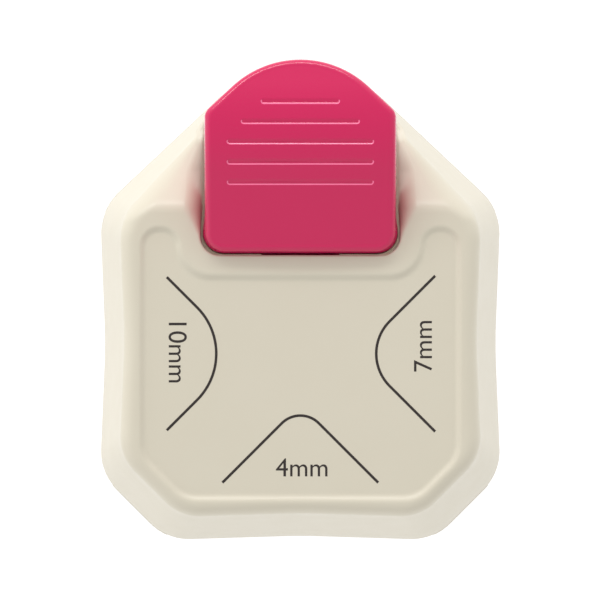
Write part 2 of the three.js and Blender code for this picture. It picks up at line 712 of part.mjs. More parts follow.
addPiece('base_shell', baseShell(), 'cream');
addPiece('upper_housing', upperHousing(), 'cream');
addPiece('chip_cover', chipCover(), 'cream');
addPiece('die_plate', diePlate(), 'steel');
addPiece('spacer_plate', spacerPlate(), 'cream');
addPiece('guide_plate', guidePlate(), 'steel');
addPiece('lever', lever(), 'pink');
addPiece('lever_pin', crossRod(PIN_Y, pinZ, PIN_R, pinHalf), 'steel');
addPiece('punch_carrier', punchCarrier(), 'steel');
for (const cutter of cutters) {
  const [x, y] = punchScrewPlace(cutter);
  addPiece(cutter.name, punch(cutter), 'hardened');
  addPiece(`${cutter.name}_screw`,
    screw(x, y, PUNCH_SCREW_R, 2 * PUNCH_SCREW_R, carrierTopZ - 1.1, 5), 'zinc');
}
for (const [side, x] of [['left', -POST_X], ['right', POST_X]]) {
  addPiece(`guide_post_${side}`, rod(x, SLOT_AXIS_Y, POST_R, PARTING_Z + SEAT_GAP, POST_TOP_Z), 'steel');
  addPiece(`return_spring_${side}`, returnSpring(x), 'steel');
}
casingScrewPlaces.forEach(([x, y], i) => {
  addPiece(`casing_screw_${i + 1}`,
    screw(x, y, CASING_SCREW_R, CASING_HEAD_R, HEAD_SEAT_Z - SEAT_GAP, HEAD_SEAT_Z - CASING_SCREW_END_Z), 'zinc');
});
plateScrewPlaces.forEach(([x, y], i) => {
  addPiece(`plate_screw_${i + 1}`,
    screw(x, y, PLATE_SCREW_R, PLATE_HEAD_R, guideTopZ + SEAT_GAP, guideTopZ - PLATE_SCREW_END_Z), 'zinc');
});

export default object;
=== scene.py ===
import math

import bmesh
import bpy
import numpy as np
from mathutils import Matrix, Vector


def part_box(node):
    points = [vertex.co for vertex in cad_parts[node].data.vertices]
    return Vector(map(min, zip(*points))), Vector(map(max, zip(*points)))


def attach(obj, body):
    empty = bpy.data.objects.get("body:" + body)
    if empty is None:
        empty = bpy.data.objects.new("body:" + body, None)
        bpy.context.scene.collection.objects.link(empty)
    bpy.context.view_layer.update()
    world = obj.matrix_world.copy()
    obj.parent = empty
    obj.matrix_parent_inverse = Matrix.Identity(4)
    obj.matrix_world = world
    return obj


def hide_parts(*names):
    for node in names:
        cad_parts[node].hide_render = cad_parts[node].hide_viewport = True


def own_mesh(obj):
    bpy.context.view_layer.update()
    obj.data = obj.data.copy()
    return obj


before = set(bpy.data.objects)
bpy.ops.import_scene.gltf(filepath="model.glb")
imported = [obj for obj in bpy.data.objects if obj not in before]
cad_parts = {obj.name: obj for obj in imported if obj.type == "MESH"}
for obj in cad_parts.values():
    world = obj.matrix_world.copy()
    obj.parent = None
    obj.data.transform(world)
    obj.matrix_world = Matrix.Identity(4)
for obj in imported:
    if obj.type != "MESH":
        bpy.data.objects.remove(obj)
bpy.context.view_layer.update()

# Sizes are in millimetres, in the frame's own directions: +Z up, +Y towards the lever's tip.
MM = 0.001


def node_box(name):
    """Lowest and highest corners of a CAD node, in mm."""
    low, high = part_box(name)
    return low / MM, high / MM


# ------------------------------------------------------------------ sizes

HOUSING_LOW, HOUSING_HIGH = node_box("upper_housing")
BASE_HIGH = node_box("base_shell")[1]
COVER_LOW, COVER_HIGH = node_box("chip_cover")
DIE_LOW, DIE_HIGH = node_box("die_plate")
PIN_LOW, PIN_HIGH = node_box("lever_pin")

PARTING_Z = HOUSING_LOW.z
RIM_Z = HOUSING_HIGH.z

# Outline where the two halves of the casing meet: (x, y, radius) corners of its left half
NOSE_APEX = (0, 44.35, 18.6)
REAR_CORNER = (-31.6, 14.65, 9)
WAIST = (-30.75, -6.5, 90)
FRONT_CORNER = (-31.6, -26.8, 8.5)
FRONT_FOOT = (-21.0, -37.4, 8.5)
FRONT_HOLLOW = (0, -36.75, 90)
HOUSING_TAPER = (1 - 0.872) / 19.8      # share of the outline lost per mm of height
SHELL_WALL = 2.0

# Base
BASE_TAPER = 0.966          # outline at the floor, as a share of the parting outline
BASE_WALL = 2.2
BASE_LEDGE = 2.0            # ledge inside the wall that carries the die plate
BASE_FLOOR_Z = 2.7
BASE_EDGE = 0.9             # rounding round the underside

# Top of the housing
SHOULDER_R = 2.3
REAR_SHOULDER_R = 3.0
CHANNEL_HALF = 15.25
CHANNEL_FRONT_Y = 7.33
CHANNEL_NARROWING = 0.35
CHANNEL_CORNER_R = 2.8
CHANNEL_REAR_Y = 27.3
CHANNEL_FLOOR_Z = 18.0
SLOPE_START_Y = 14.8
SLOPE = 0.762               # fall of the ears beside the lever, per mm
EAR_EDGE_Y = 25.3
EAR_DROP = 3.0              # fall of the ears' rear edge, per mm
EAR_SPAN = (13.4, 18.5)     # the ear's rear edge bows between these distances from the middle
EAR_MIDDLE_X = 16.5
EAR_BOW = 0.08
LEDGE_Z = 21.0
LEDGE_Y = 27.4
LEDGE_FALL = 1.1
TOP_INNER_CORNER = (18.6, 11.4)     # the flat top rounds off round these points beside
TOP_OUTER_CORNER = (22.0, 10.9)     # the channel and at the casing's side
PANEL_DEPTH = 0.5
PANEL_STEP = 1.1
PANEL_HALF = 24.15
PANEL_REAR_Y = 11.3
PANEL_FRONT_Y = -29.8
PANEL_CHAMFER = 6.3
PANEL_CORNER_R = 5
PANEL_REAR_CORNER_R = 2.6
COLLAR = 3.4                # the panel keeps this far from the channel

# Lever
CAP_HALF = 14.45
CAP_FRONT_Y = 7.85
CAP_SHOULDER_Y = 28.9
CAP_APEX_Y = 42.4
CAP_NOSE_R = 15
CAP_FRONT_Z = 36.8
CAP_RISE = 0.355            # slope of the top from the front to the crest
CAP_CREST = (27, 43.42)     # (y, z) where the two slopes would meet
CAP_FALL = 0.26             # slope from the crest to the tip
CAP_EDGE_R = 1.0
CAP_WALL = 2.0
CAP_SKIRT = (29.5, 35.0)    # height of the skirt's foot at the front and at SKIRT_REAR_Y
SKIRT_REAR_Y = 36.8
CAP_FLARE = (0.42, 0.2)     # how far the skirt stands out at the front and further back
CAP_CORNER_FLARE = 0.16     # more at the front corners
BEAM_HALF = 6.0
BOSS_R = 2.8
PIN_BORE_R = 1.7
PAD_Y, PAD_Z, PAD_R = -10.5, 28.8, 1.5
GROOVE_PITCH = 3.04
GROOVE_HEIGHT = 0.92
GROOVE_DEPTH = 0.26
GROOVE_FIRST_Y = 18.35
GROOVE_HALVES = (11.15, 11.15, 11.15, 9.0, 6.0)

# Corner templates: point of each V, its radius, the way that the corner points, and how far
# the printed lines reach
TEMPLATES = (
    ((-8.7, -7.75), 10, 0.0, 11.7),
    ((8.7, -7.75), 7, math.pi, 11.9),
    ((0, -15.55), 4, math.pi / 2, 11.9),
)
LINE_HALF = 0.2
INK_THICKNESS = 0.03
NUMERAL_HEIGHT = 4.0

# Screws, springs and cover
SCREW_HEAD_R = 2.2
SCREW_HEAD_HEIGHT = 1.4
COUNTERBORE_R = 2.4
SPRING_R = 2.7
SPRING_WIRE_R = 0.35
SPRING_TURNS = 5.5
COVER_LIP = 0.8             # the cover's face stands this far below its rails
COVER_GRIPS = 4

# Brightness of the light tent: overhead, round its walls, and how that leans over X and Y.
# The softbox and the camera are placed in metres.
TENT_TOP = 0.6
TENT_WALL = 0.56
TENT_LEAN = (-0.26, 0.22, 0)
SOFTBOX_POWER = 2.5
SOFTBOX_SIZE = (0.75, 0.13)
SOFTBOX_PLACE = (-0.12, 0.68, 0.42)
FLOOR_GLOW = 0.88
CAMERA_PLACE = (-0.00005, 0.00045, 0.7)
CAMERA_LENS = 261.345


# ------------------------------------------------------------------ outlines

def rounded(corners, arc_points=14):
    """Points round a polygon of (x, y, radius) corners, anticlockwise, each corner an arc."""
    points = []
    for i, (x, y, r) in enumerate(corners):
        corner = Vector((x, y))
        into = (corner - Vector(corners[i - 1][:2])).normalized()
        out = (Vector(corners[(i + 1) % len(corners)][:2]) - corner).normalized()
        turn = math.atan2(into.x * out.y - into.y * out.x, into.dot(out))
        if r <= 0 or abs(turn) < 1e-4:
            points.append((x, y))
            continue
        start = corner - into * r * math.tan(abs(turn) / 2)
        side = math.copysign(r, turn)
        centre = start + Vector((-into.y, into.x)) * side
        arm = start - centre
        for k in range(arc_points + 1):
            a = turn * k / arc_points
            points.append((centre.x + arm.x * math.cos(a) - arm.y * math.sin(a),
                           centre.y + arm.x * math.sin(a) + arm.y * math.cos(a)))
    return np.array(points)


def mirror_corners(half):
    """A left half's corners, from the rear, with their mirror images added on the right."""
    return [*half, *((-x, y, r) for x, y, r in reversed(half) if x != 0)]


def lengths(points):
    steps = np.hypot(*np.diff(points, axis=0).T)
    return np.concatenate([[0], np.cumsum(steps)])


def at_lengths(points, wanted):
    run = lengths(points)
    return np.column_stack([np.interp(wanted, run, points[:, i]) for i in (0, 1)])


def even_loop(points, count):
    """The same closed outline, with count points evenly spaced."""
    closed = np.vstack([points, points[:1]])
    return at_lengths(closed, np.arange(count) * lengths(closed)[-1] / count)


def matched(path, stops, counts):
    """Points along path that pass near each stop, with so many steps between stops."""
    run = lengths(path)
    fine = np.linspace(0, run[-1], 4000)
    places = at_lengths(path, fine)
    marks = [fine[np.argmin(np.hypot(*(places - stop).T))] for stop in stops]
    wanted = [np.linspace(a, b, n, endpoint=False) for a, b, n in zip(marks, marks[1:], counts)]
    return at_lengths(path, np.concatenate([*wanted, marks[-1:]]))


def both_sides(left):
    """A closed ring from its left half, which starts and ends on x = 0."""
    right = left[-2:0:-1] * (-1, 1)
    return np.vstack([left, right])


def left_half(corners, arc_points=40):
    """The left half of a mirrored outline, from its rear end on x = 0 to its front."""
    loop = rounded(mirror_corners(corners), arc_points)
    middle = loop[:, 1].mean()
    start = np.argmin(np.abs(loop[:, 0]) + (loop[:, 1] < middle) * 99)
    loop = np.roll(loop, -start, axis=0)
    stop = np.argmin(np.abs(loop[:, 0]) + (loop[:, 1] > middle) * 99)
    half = loop[:stop + 1].copy()
    half[[0, -1], 0] = 0
    return half


def left_normals(ring):
    along = np.roll(ring, -1, axis=0) - np.roll(ring, 1, axis=0)
    along /= np.hypot(*along.T)[:, None]
    return np.column_stack([-along[:, 1], along[:, 0]])


def outline_distance(points, outline):
    """Distance of each point from a closed outline, negative inside it."""
    a = outline
    b = np.roll(outline, -1, axis=0)
    edge = b - a
    size = (edge ** 2).sum(1)
    near = np.full(len(points), np.inf)
    inside = np.zeros(len(points), bool)
    for p, q, e, s in zip(a, b, edge, size):
        w = points - p
        t = np.clip(w @ e / s, 0, 1)
        near = np.minimum(near, np.hypot(*(w - t[:, None] * e).T))
        crosses = (p[1] > points[:, 1]) != (q[1] > points[:, 1])
        if e[1] != 0:
            inside ^= crosses & (points[:, 0] < p[0] + (points[:, 1] - p[1]) * e[0] / e[1])
    return np.where(inside, -near, near)


def smooth_step(t):
    t = np.clip(t, 0, 1)
    return t * t * (3 - 2 * t)


def smooth_min(a, b, k):
    h = np.clip(0.5 + 0.5 * (b - a) / k, 0, 1)
    return b + (a - b) * h - k * h * (1 - h)


def smooth_max(a, b, k):
    return -smooth_min(-a, -b, k)


casing_half = [NOSE_APEX, REAR_CORNER, WAIST, FRONT_CORNER, FRONT_FOOT, FRONT_HOLLOW]
casing_outline = rounded(mirror_corners(casing_half))


# ------------------------------------------------------------------ modelling by hand

def pick_only(*pieces):
    """Selects these pieces and nothing else, with the first one active."""
    bpy.ops.object.select_all(action="DESELECT")
    for piece in pieces:
        piece.select_set(True)
    bpy.context.view_layer.objects.active = pieces[0]
    return pieces[0]


def named(name):
    piece = bpy.context.object
    piece.name = name
    piece.data.name = name
    return piece


def edit(piece, mode="FACE"):
    pick_only(piece)
    bpy.ops.object.mode_set(mode="EDIT")
    bpy.ops.mesh.select_mode(type=mode)
    bpy.ops.mesh.select_all(action="DESELECT")


def done():
    bpy.ops.object.mode_set(mode="OBJECT")


def select_where(kind, test):
    """In edit mode, selects just the faces, edges or verts whose middle and item pass test."""
    mesh = bmesh.from_edit_mesh(bpy.context.object.data)
    bpy.ops.mesh.select_all(action="DESELECT")
    for item in getattr(mesh, kind):
        if kind == "verts":
            middle = item.co
        elif kind == "edges":
            middle = (item.verts[0].co + item.verts[1].co) / 2
        else:
            middle = item.calc_center_median()
        item.select_set(bool(test(middle / MM, item)))
    mesh.select_flush_mode()
    bmesh.update_edit_mesh(bpy.context.object.data)


def settle(piece):
    """Puts a piece's place into its mesh, so that its object sits at the origin."""
    pick_only(piece)
    bpy.ops.object.transform_apply(location=True, rotation=True, scale=True)
    return piece


def finish_with(piece, kind, **settings):
    """Adds a modifier with these settings and applies it."""
    pick_only(piece)
    modifier = piece.modifiers.new(kind.lower(), kind)
    for key, value in settings.items():
        setattr(modifier, key, value)
    bpy.ops.object.modifier_apply(modifier=modifier.name)
    return piece


def cut(piece, *tools, operation="DIFFERENCE"):
    for tool in tools:
        finish_with(piece, "BOOLEAN", operation=operation, object=tool, solver="EXACT")
        bpy.data.objects.remove(tool)
    return piece


def soften(piece, width, segments=2, angle=35):
    """Rounds every edge sharper than angle degrees."""
    return finish_with(piece, "BEVEL", width=width * MM, segments=segments, limit_method="ANGLE",
                       angle_limit=math.radians(angle), use_clamp_overlap=True, miter_outer="MITER_ARC")


def smooth(piece, angle=35):
    pick_only(piece)
    bpy.ops.object.shade_smooth_by_angle(angle=math.radians(angle))
    return piece


def lay_grid(name, rings, loop=True, fill_last=False, fill_first=False):
    """A grid primitive whose rows are laid along rings of (x, y, z) points in mm.
    A loop's ends are welded, and its first or last ring can be closed with a face."""
    rings = np.asarray(rings, float)
    if loop:
        rings = np.concatenate([rings, rings[:, :1]], axis=1)
    rows, columns = rings.shape[:2]
    bpy.ops.object.select_all(action="DESELECT")
    bpy.ops.mesh.primitive_grid_add(x_subdivisions=columns - 1, y_subdivisions=rows - 1, size=1)
    piece = named(name)
    piece.data.vertices.foreach_set("co", (rings * MM).ravel())
    edit(piece, "EDGE")
    bpy.ops.mesh.select_all(action="SELECT")
    bpy.ops.mesh.remove_doubles(threshold=0.004 * MM)
    for wanted, height in ((fill_first, rings[0]), (fill_last, rings[-1])):
        if wanted:
            keys = {tuple(np.round(p, 2)) for p in height}
            select_where("edges", lambda m, e: e.is_boundary and all(
                tuple(round(c, 2) + 0.0 for c in v.co / MM) in keys for v in e.verts))
            bpy.ops.mesh.edge_face_add()
    bpy.ops.mesh.select_all(action="SELECT")
    bpy.ops.mesh.normals_make_consistent(inside=False)
    if bmesh.from_edit_mesh(piece.data).calc_volume(signed=True) < 0:
        bpy.ops.mesh.flip_normals()
    done()
    return piece


def slab(name, outline, z0, z1, scale_top=1.0):
    """An outline's face, drawn as a circle primitive and pulled up to a block."""
    bpy.ops.object.select_all(action="DESELECT")
    bpy.ops.mesh.primitive_circle_add(vertices=len(outline), fill_type="NGON")
    piece = named(name)
    points = np.column_stack([outline, np.full(len(outline), z0)]) * MM
    piece.data.vertices.foreach_set("co", points.ravel())
    edit(piece)
    bpy.ops.mesh.select_all(action="SELECT")
    bpy.ops.mesh.normals_make_consistent(inside=False)
    bpy.ops.mesh.extrude_region_move(TRANSFORM_OT_translate={"value": (0, 0, (z1 - z0) * MM)})
    if scale_top != 1:
        bpy.ops.transform.resize(value=(scale_top, scale_top, 1), center_override=(0, 0, z1 * MM))
    bpy.ops.mesh.select_all(action="SELECT")
    bpy.ops.mesh.normals_make_consistent(inside=False)
    done()
    return settle(piece)


def box(name, x0, x1, y0, y1, z0, z1):
    bpy.ops.object.select_all(action="DESELECT")
    centre = Vector((x0 + x1, y0 + y1, z0 + z1)) * MM / 2
    size = Vector((x1 - x0, y1 - y0, z1 - z0)) * MM
    bpy.ops.mesh.primitive_cube_add(size=1, location=centre, scale=size)
    return settle(named(name))


def rod(name, x, y, radius, z0, z1, sides=32):
    bpy.ops.object.select_all(action="DESELECT")
    bpy.ops.mesh.primitive_cylinder_add(vertices=sides, radius=radius * MM, depth=(z1 - z0) * MM,
                                        location=(x * MM, y * MM, (z0 + z1) * MM / 2))
    return settle(named(name))


def cross_rod(name, y, z, radius, half, sides=32):
    bpy.ops.object.select_all(action="DESELECT")
    bpy.ops.mesh.primitive_cylinder_add(vertices=sides, radius=radius * MM, depth=2 * half * MM,
                                        location=(0, y * MM, z * MM), rotation=(0, math.pi / 2, 0))
    return settle(named(name))


# ------------------------------------------------------------------ materials

def srgb(code):
    """Linear colour of an sRGB hex value."""
    channels = [int(code[i:i + 2], 16) / 255 for i in (1, 3, 5)]
    return [c / 12.92 if c <= 0.04045 else ((c + 0.055) / 1.055) ** 2.4 for c in channels] + [1]


def add_node(tree, kind, links=None, **settings):
    """Adds a node. A setting that isn't an attribute sets the input socket of that name."""
    made = tree.nodes.new(kind)
    for key, value in settings.items():
        if hasattr(made, key):
            setattr(made, key, value)
        else:
            made.inputs[key.replace("_", " ")].default_value = value
    for socket, source in (links or {}).items():
        tree.links.new(source, made.inputs[socket])
    return made


def new_material(name):
    material = bpy.data.materials.new(name)
    material.use_nodes = True
    material.node_tree.nodes.clear()
    tree = material.node_tree
    place = add_node(tree, "ShaderNodeTexCoord").outputs["Object"]
    return material, tree, place


def close_material(tree, shader):
    add_node(tree, "ShaderNodeOutputMaterial", {"Surface": shader.outputs[0]})


def moulded_plastic(name, base, shade, roughness, tone_mm=9, skin_mm=0.35, skin_depth=0.004, ior=1.53):
    """Injection-moulded ABS: a faint cloudiness of flow in the colour, a satin skin with small
    changes of gloss, and the very fine texture that the polished mould leaves."""
    material, tree, place = new_material(name)
    flow = add_node(tree, "ShaderNodeTexNoise", {"Vector": place}, Scale=1 / (tone_mm * MM), Detail=3)
    colour = add_node(tree, "ShaderNodeMix", {"Factor": flow.outputs["Fac"]}, data_type="RGBA")
    colour.inputs["A"].default_value = srgb(base)
    colour.inputs["B"].default_value = srgb(shade)
    handled = add_node(tree, "ShaderNodeTexNoise", {"Vector": place}, Scale=1 / (3.5 * MM), Detail=5)
    gloss = add_node(tree, "ShaderNodeMapRange", {"Value": handled.outputs["Fac"]})
    gloss.inputs["To Min"].default_value = roughness - 0.05
    gloss.inputs["To Max"].default_value = roughness + 0.07
    skin = add_node(tree, "ShaderNodeTexNoise", {"Vector": place}, Scale=1 / (skin_mm * MM), Detail=4)
    bump = add_node(tree, "ShaderNodeBump", {"Height": skin.outputs["Fac"]}, Strength=0.5)
    bump.inputs["Distance"].default_value = skin_depth * MM
    shader = add_node(tree, "ShaderNodeBsdfPrincipled", {
        "Base Color": colour.outputs["Result"],
        "Roughness": gloss.outputs["Result"],
        "Normal": bump.outputs["Normal"],
    }, IOR=ior)
    close_material(tree, shader)
    return material


def worked_metal(name, base, shade, roughness, grain, stretch, depth):
    """Worked steel: fine lines stretched along the way it was rolled, ground or drawn."""
    material, tree, place = new_material(name)
    turned = add_node(tree, "ShaderNodeMapping", {"Vector": place})
    turned.inputs["Scale"].default_value = stretch
    lines = add_node(tree, "ShaderNodeTexNoise", {"Vector": turned.outputs["Vector"]},
                     Scale=1 / (grain * MM), Detail=6)
    stain = add_node(tree, "ShaderNodeTexNoise", {"Vector": place}, Scale=1 / (6 * MM), Detail=3)
    colour = add_node(tree, "ShaderNodeMix", {"Factor": stain.outputs["Fac"]}, data_type="RGBA")
    colour.inputs["A"].default_value = srgb(base)
    colour.inputs["B"].default_value = srgb(shade)
    gloss = add_node(tree, "ShaderNodeMapRange", {"Value": lines.outputs["Fac"]})
    gloss.inputs["To Min"].default_value = roughness - 0.08
    gloss.inputs["To Max"].default_value = roughness + 0.12
    bump = add_node(tree, "ShaderNodeBump", {"Height": lines.outputs["Fac"]}, Strength=0.6)
    bump.inputs["Distance"].default_value = depth * MM
    shader = add_node(tree, "ShaderNodeBsdfPrincipled", {
        "Base Color": colour.outputs["Result"],
        "Roughness": gloss.outputs["Result"],
        "Normal": bump.outputs["Normal"],
    }, Metallic=1.0)
    close_material(tree, shader)
    return material


# Cream ABS, moulded in a polished tool: warm white with a soft, slightly glossy skin.
cream_abs = moulded_plastic("cream_abs_moulded", "#d4cdbb", "#d1cab7", 0.36)
# Pink ABS from the same kind of tool: stronger colour, a little glossier.
pink_abs = moulded_plastic("pink_abs_moulded", "#ce1557", "#cb1455", 0.18)
# The same pink plastic, painted pale and glossy on each finger groove's front wall: a painted highlight
# for the light reflected along that edge.
groove_highlight_paint = moulded_plastic("pink_abs_painted_highlight", "#f0709c", "#ee6c98", 0.2)
# Natural nylon spacer, never polished: chalkier and matte.
spacer_nylon = moulded_plastic("natural_nylon_moulded", "#e6e1d2", "#dcd6c5", 0.55, skin_depth=0.01)
# Cold-rolled sheet with a film of oil: long faint lines one way.
rolled_steel = worked_metal("rolled_steel_sheet", "#a4a6a8", "#8f9194", 0.34, 0.25, (1, 14, 1), 0.003)
# Hardened steel, surface ground: short bright scratches across the punch.
ground_steel = worked_metal("ground_tool_steel", "#8b8e92", "#767a7e", 0.26, 0.18, (12, 1, 12), 0.002)
# Drawn spring wire: lines round the coil, slightly dark.
drawn_wire = worked_metal("drawn_spring_wire", "#8a8a88", "#6f6f6c", 0.32, 0.2, (1, 1, 9), 0.002)
# Bright zinc plating: paler, with a faint cloudiness.
zinc_plate = worked_metal("zinc_plated_steel", "#c9cccf", "#b3b7bd", 0.3, 0.4, (1, 1, 1), 0.001)
# Pad-printed ink: a very dark brown film, a little uneven where it took.
mark_ink = moulded_plastic("pad_printed_ink", "#1d1512", "#281d18", 0.5, tone_mm=0.8, skin_depth=0.003)


def finish_in(piece, material, body):
    piece.data.materials.clear()
    piece.data.materials.append(material)
    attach(piece, body)
    return piece


# ------------------------------------------------------------------ upper housing

def channel_outline():
    """Left half of the lever's channel, from its rear end on x = 0 to the middle of its front."""
    r = CHANNEL_CORNER_R
    turn = np.linspace(math.pi, 1.5 * math.pi, 15)
    corner = np.column_stack([r - CHANNEL_HALF + r * np.cos(turn),
                              CHANNEL_FRONT_Y + r + r * np.sin(turn)])
    side_y = np.linspace(CHANNEL_REAR_Y, CHANNEL_FRONT_Y + r, 40)[:-1]
    side_x = -CHANNEL_HALF + CHANNEL_NARROWING * smooth_step((side_y - 11) / 6)
    side = np.column_stack([side_x, side_y])
    return np.vstack([[0, CHANNEL_REAR_Y], side, corner, [0, CHANNEL_FRONT_Y]])


def panel_outline():
    """The lowered panel, which comes up on both sides of the channel's collar."""
    inner = CHANNEL_HALF + COLLAR
    front = CHANNEL_FRONT_Y - COLLAR
    left = [
        (-inner, front, PANEL_CORNER_R),
        (-inner, PANEL_REAR_Y, PANEL_REAR_CORNER_R),
        (-PANEL_HALF, PANEL_REAR_Y, PANEL_REAR_CORNER_R),
        (-PANEL_HALF, PANEL_FRONT_Y + PANEL_CHAMFER, PANEL_CORNER_R),
        (PANEL_CHAMFER - PANEL_HALF, PANEL_FRONT_Y, PANEL_CORNER_R),
    ]
    return rounded([*left, *((-x, y, r) for x, y, r in reversed(left))])


def corner_run(across, y, centre_y):
    """How far behind y = 0 a rounded corner of the flat top puts a point."""
    return centre_y + np.hypot(across, np.maximum(y - centre_y, 0))


def housing_top(x, y):
    """Height of the housing's skin over (x, y)."""
    ax = np.abs(x)
    inner_x, inner_y = TOP_INNER_CORNER
    outer_x, outer_y = TOP_OUTER_CORNER
    beside = np.clip(inner_x - ax, 0, inner_x - CHANNEL_HALF) * smooth_step((y - 8) / 4)
    outside = np.maximum(ax - outer_x, 0) * smooth_step((y - 9) / 6)
    inner = corner_run(beside, y, inner_y)
    outer = corner_run(outside, y, outer_y)
    run = np.maximum(np.maximum(inner, outer), y)
    top = smooth_min(RIM_Z, RIM_Z - SLOPE * (run - SLOPE_START_Y), 0.8)
    edge_y = EAR_EDGE_Y - EAR_BOW * (np.clip(ax, *EAR_SPAN) - EAR_MIDDLE_X) ** 2
    edge_z = RIM_Z - SLOPE * (edge_y - SLOPE_START_Y)
    top = smooth_min(top, edge_z - EAR_DROP * (y - edge_y), 1.2)
    ledge = LEDGE_Z - LEDGE_FALL * np.maximum(y - LEDGE_Y, 0)
    top = smooth_max(top, ledge, 0.8)
    nose = smooth_step((ax - CHANNEL_HALF + 2) / 2)
    behind = (ax < CHANNEL_HALF) & (y > SLOPE_START_Y)
    top = np.where(behind, CHANNEL_FLOOR_Z + (top - CHANNEL_FLOOR_Z) * nose, top)
    step = outline_distance(np.column_stack([x, y]), panel_outline())
    return top - PANEL_DEPTH * smooth_step(0.5 - step / PANEL_STEP)


def across_rows(width):
    """Distances across the top for each column: fine near both edges, coarse between."""
    near = np.minimum(11.4, 0.55 * width)
    far = np.minimum(4.6, 0.35 * width)
    rows = [near * t for t in np.linspace(0, 1, 37)]
    rows += [near + (width - near - far) * t for t in np.linspace(0, 1, 10)[1:]]
    rows += [width - far * (1 - t) for t in np.linspace(0, 1, 14)[1:]]
    return rows


def housing_loops():
    """The casing's outline and the channel's, with matching points, and their normals."""
    outer_path = left_half(casing_half)
    inner_path = channel_outline()
    counts = (26, 34, 20, 58, 30, 36)
    outer = both_sides(matched(outer_path, [
        (0, 37.3), (-15.9, 29.4), (-29.8, 16.2), (-31.1, 8), (-31.4, -26.8), (-21, -37.3), (0, -36.75),
    ], counts))
    inner = both_sides(matched(inner_path, [
        (0, CHANNEL_REAR_Y), (CHANNEL_NARROWING - CHANNEL_HALF, CHANNEL_REAR_Y), (-CHANNEL_HALF, 14.8),
        (-CHANNEL_HALF, 10.2), (-12.6, CHANNEL_FRONT_Y), (-9, CHANNEL_FRONT_Y), (0, CHANNEL_FRONT_Y),
    ], counts))
    inwards = left_normals(outer)
    outwards = -left_normals(inner)
    return outer, inner, inwards, outwards


def upper_housing():
    """One closed skin, whose rings run from the channel's underside out to the parting edge,
    up the outside, over the shoulder and the top, and down into the channel."""
    outer, inner, inwards, outwards = housing_loops()
    rear = smooth_step((outer[:, 1] - 11) / 8)

    def wall_at(z):
        return outer * (1 - HOUSING_TAPER * (z - PARTING_Z))

    wall_z = np.full((len(outer), 1), RIM_Z - SHOULDER_R)
    for _ in range(5):
        edge = wall_at(wall_z)
        width = np.hypot(*(inner - edge).T)
        shoulder = SHOULDER_R + (REAR_SHOULDER_R - SHOULDER_R) * rear
        shoulder = np.minimum(shoulder, 0.42 * width)[:, None]
        wall_z = housing_top(*edge.T)[:, None] - shoulder
    crest = wall_z + shoulder
    ears = smooth_step((inner[:, 1] - 9.5) / 5)
    lip = np.minimum(0.35 + 2.3 * ears, 0.4 * width)
    lip = np.where((inner[:, 1] > CHANNEL_REAR_Y - 0.05) | (inner[:, 1] < 9.5), 0.35, lip)
    lip = lip[:, None]
    hidden = np.minimum(SHELL_WALL, 0.3 * width)[:, None]
    back = inner + outwards * hidden
    under = wall_at(crest - SHELL_WALL) + inwards * hidden
    rings = [np.hstack([back, np.full((len(back), 1), CHANNEL_FLOOR_Z - SHELL_WALL)])]
    for share in (0, 0.1, 0.25, 0.4, 0.55, 0.7, 0.85, 1):
        place = back + (under - back) * share
        behind = housing_top(place[:, 0], place[:, 1] + SHELL_WALL)
        rings.append(np.column_stack([place, np.minimum(housing_top(*place.T), behind) - SHELL_WALL]))
    for z in (PARTING_Z + 1.2, PARTING_Z):
        rings.append(np.hstack([wall_at(z) + inwards * hidden, np.full((len(back), 1), z)]))
    for inset, rise in ((0.35, 0), (0.2, 0.04), (0.06, 0.16), (0, 0.4)):
        inset = np.minimum(inset, hidden / 2)
        z = np.full((len(outer), 1), PARTING_Z + rise)
        rings.append(np.hstack([wall_at(z) + inwards * inset, z]))
    for share in np.linspace(0, 1, 8)[1:]:
        z = PARTING_Z + 0.4 + (wall_z - PARTING_Z - 0.4) * share
        rings.append(np.hstack([wall_at(z), z]))
    for turn in np.linspace(0, math.pi / 2, 11)[1:]:
        place = wall_at(wall_z) + inwards * shoulder * (1 - math.cos(turn))
        drop = shoulder * (1 - math.sin(turn))
        rings.append(np.hstack([place, housing_top(*place.T)[:, None] - drop]))
    start = rings[-1][:, :2]
    stop = inner + outwards * lip
    span = np.hypot(*(stop - start).T)
    for distance in across_rows(span)[1:]:
        place = start + (stop - start) * (distance / span)[:, None]
        rings.append(np.column_stack([place, housing_top(*place.T)]))
    for turn in np.linspace(0, math.pi / 2, 8)[1:]:
        place = inner + outwards * lip * (1 - math.sin(turn))
        rings.append(np.hstack([place, housing_top(*place.T)[:, None] - lip * (1 - math.cos(turn))]))
    foot = rings[-1][:, 2:]
    for share in (0.3, 0.7, 1):
        z = foot + (CHANNEL_FLOOR_Z - 0.5 - foot) * share
        rings.append(np.hstack([inner - outwards * 0.01 * share, z]))
    shell = lay_grid("upper_housing_shell", rings, fill_first=True, fill_last=True)
    passage = box("passage", -CHANNEL_HALF + 1.5, CHANNEL_HALF - 1.5, CHANNEL_FRONT_Y - 4,
                  CHANNEL_FRONT_Y + 0.5, CHANNEL_FLOOR_Z + 0.5, RIM_Z - PANEL_DEPTH - SHELL_WALL - 0.2)
    cut(shell, passage)
    return smooth(shell, 40)


# ------------------------------------------------------------------ lever

def cap_top(x, y):
    """Height of the lever's top: it rises from the front, crests and falls to the tip."""
    front = CAP_FRONT_Z + CAP_RISE * (y - CAP_FRONT_Y)
    rear = CAP_CREST[1] - CAP_FALL * (y - CAP_CREST[0])
    crown = 0.35 * (x / CAP_HALF) ** 2
    return smooth_min(front, rear, 4) - crown


def cap_skirt(y):
    share = (y - CAP_FRONT_Y) / (SKIRT_REAR_Y - CAP_FRONT_Y)
    return CAP_SKIRT[0] + (CAP_SKIRT[1] - CAP_SKIRT[0]) * share


